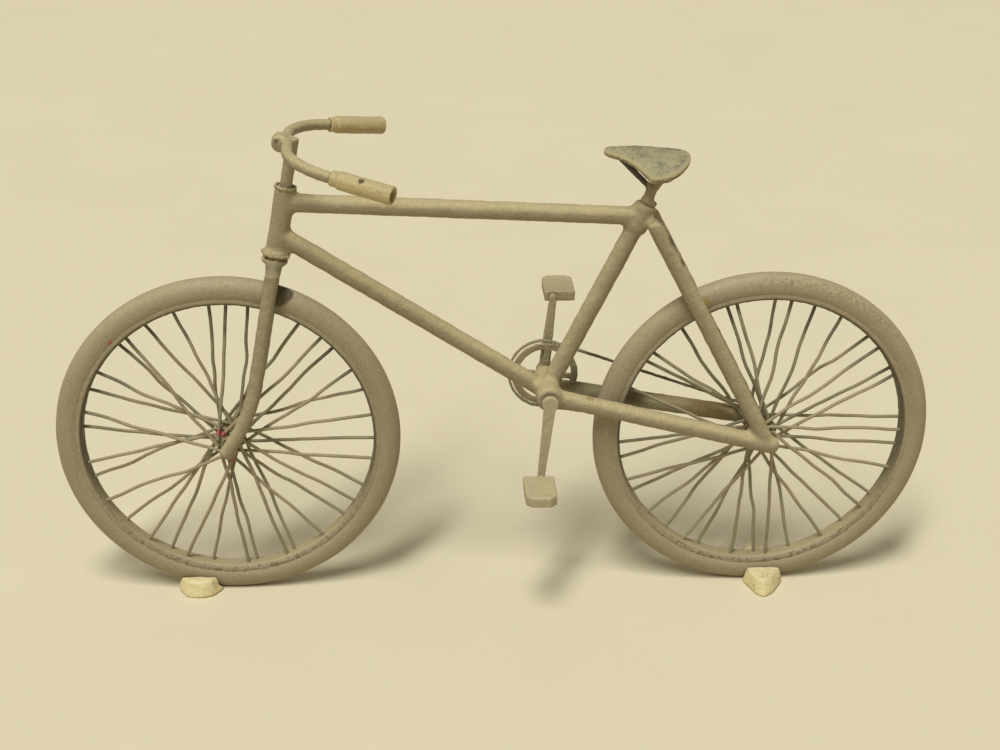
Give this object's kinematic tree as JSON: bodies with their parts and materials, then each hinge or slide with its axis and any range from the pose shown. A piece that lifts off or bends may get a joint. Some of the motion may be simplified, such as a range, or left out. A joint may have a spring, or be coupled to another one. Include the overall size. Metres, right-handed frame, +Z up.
{
  "type": "model bicycle",
  "caption": "Painted scale model bicycle with laced wire wheels, steering fork, turning cranks and pedals, held upright by putty pressed under the tyres.",
  "frame": {"origin": "on the floor, midway between the two tyres' contact points", "axes": "+X forward, +Y to the rider's left, +Z up"},
  "size_m": [0.1796, 0.0501, 0.0989],
  "materials": {
    "paint": "matt brushed-on khaki paint, worn",
    "tyre": "matt khaki paint over soft plastic",
    "wire": "thin paint over wire",
    "grip": "matt yellowish paint",
    "saddle": "matt, worn blue-grey in patches",
    "putty": "soft matt cream putty"
  },
  "bodies": {
    "frame": {"head_tube": "paint", "top_tube": "paint", "down_tube": "paint", "seat_tube": "paint", "bottom_bracket": "paint", "chainstay_left": "paint", "chainstay_right": "paint", "seatstay_left": "paint", "seatstay_right": "paint", "seat_post": "paint", "saddle": "saddle", "chain": "paint", "rear_axle": "wire", "rear_putty": "putty"},
    "fork": {"fork_crown": "paint", "fork_blade_left": "paint", "fork_blade_right": "paint", "stem": "paint", "handlebar": "paint", "grip_left": "grip", "grip_right": "grip", "front_axle": "wire", "front_putty": "putty"},
    "front_wheel": {"front_tyre": "tyre", "front_rim": "paint", "front_hub": "paint", "front_spokes": "wire"},
    "rear_wheel": {"rear_tyre": "tyre", "rear_rim": "paint", "rear_hub": "paint", "rear_spokes": "wire", "rear_sprocket": "paint"},
    "crankset": {"crank_spindle": "wire", "chainring": "paint", "crank_left": "paint", "crank_right": "paint"},
    "pedal_left": {"pedal_left": "paint"},
    "pedal_right": {"pedal_right": "paint"}
  },
  "joints": [
    {"name": "steering", "type": "hinge", "parent": "frame", "child": "fork", "pos_m": [0.04247, 0, 0.0812], "axis": [-0.1805, 0, 0.9836], "range_deg": [-90, 90]},
    {"name": "front_axle_turn", "type": "hinge", "parent": "fork", "child": "front_wheel", "pos_m": [0.0548, 0, 0.035], "axis": [0, 1, 0], "continuous": true},
    {"name": "rear_axle_turn", "type": "hinge", "parent": "frame", "child": "rear_wheel", "pos_m": [-0.0548, 0, 0.035], "axis": [0, 1, 0], "continuous": true},
    {"name": "crank_turn", "type": "hinge", "parent": "frame", "child": "crankset", "pos_m": [-0.0102, 0, 0.0452], "axis": [0, 1, 0], "continuous": true},
    {"name": "pedal_left_turn", "type": "hinge", "parent": "crankset", "child": "pedal_left", "pos_m": [-0.00866, 0.0139, 0.02887], "axis": [0, 1, 0], "continuous": true},
    {"name": "pedal_right_turn", "type": "hinge", "parent": "crankset", "child": "pedal_right", "pos_m": [-0.01174, -0.0149, 0.06153], "axis": [0, 1, 0], "continuous": true}
  ]
}
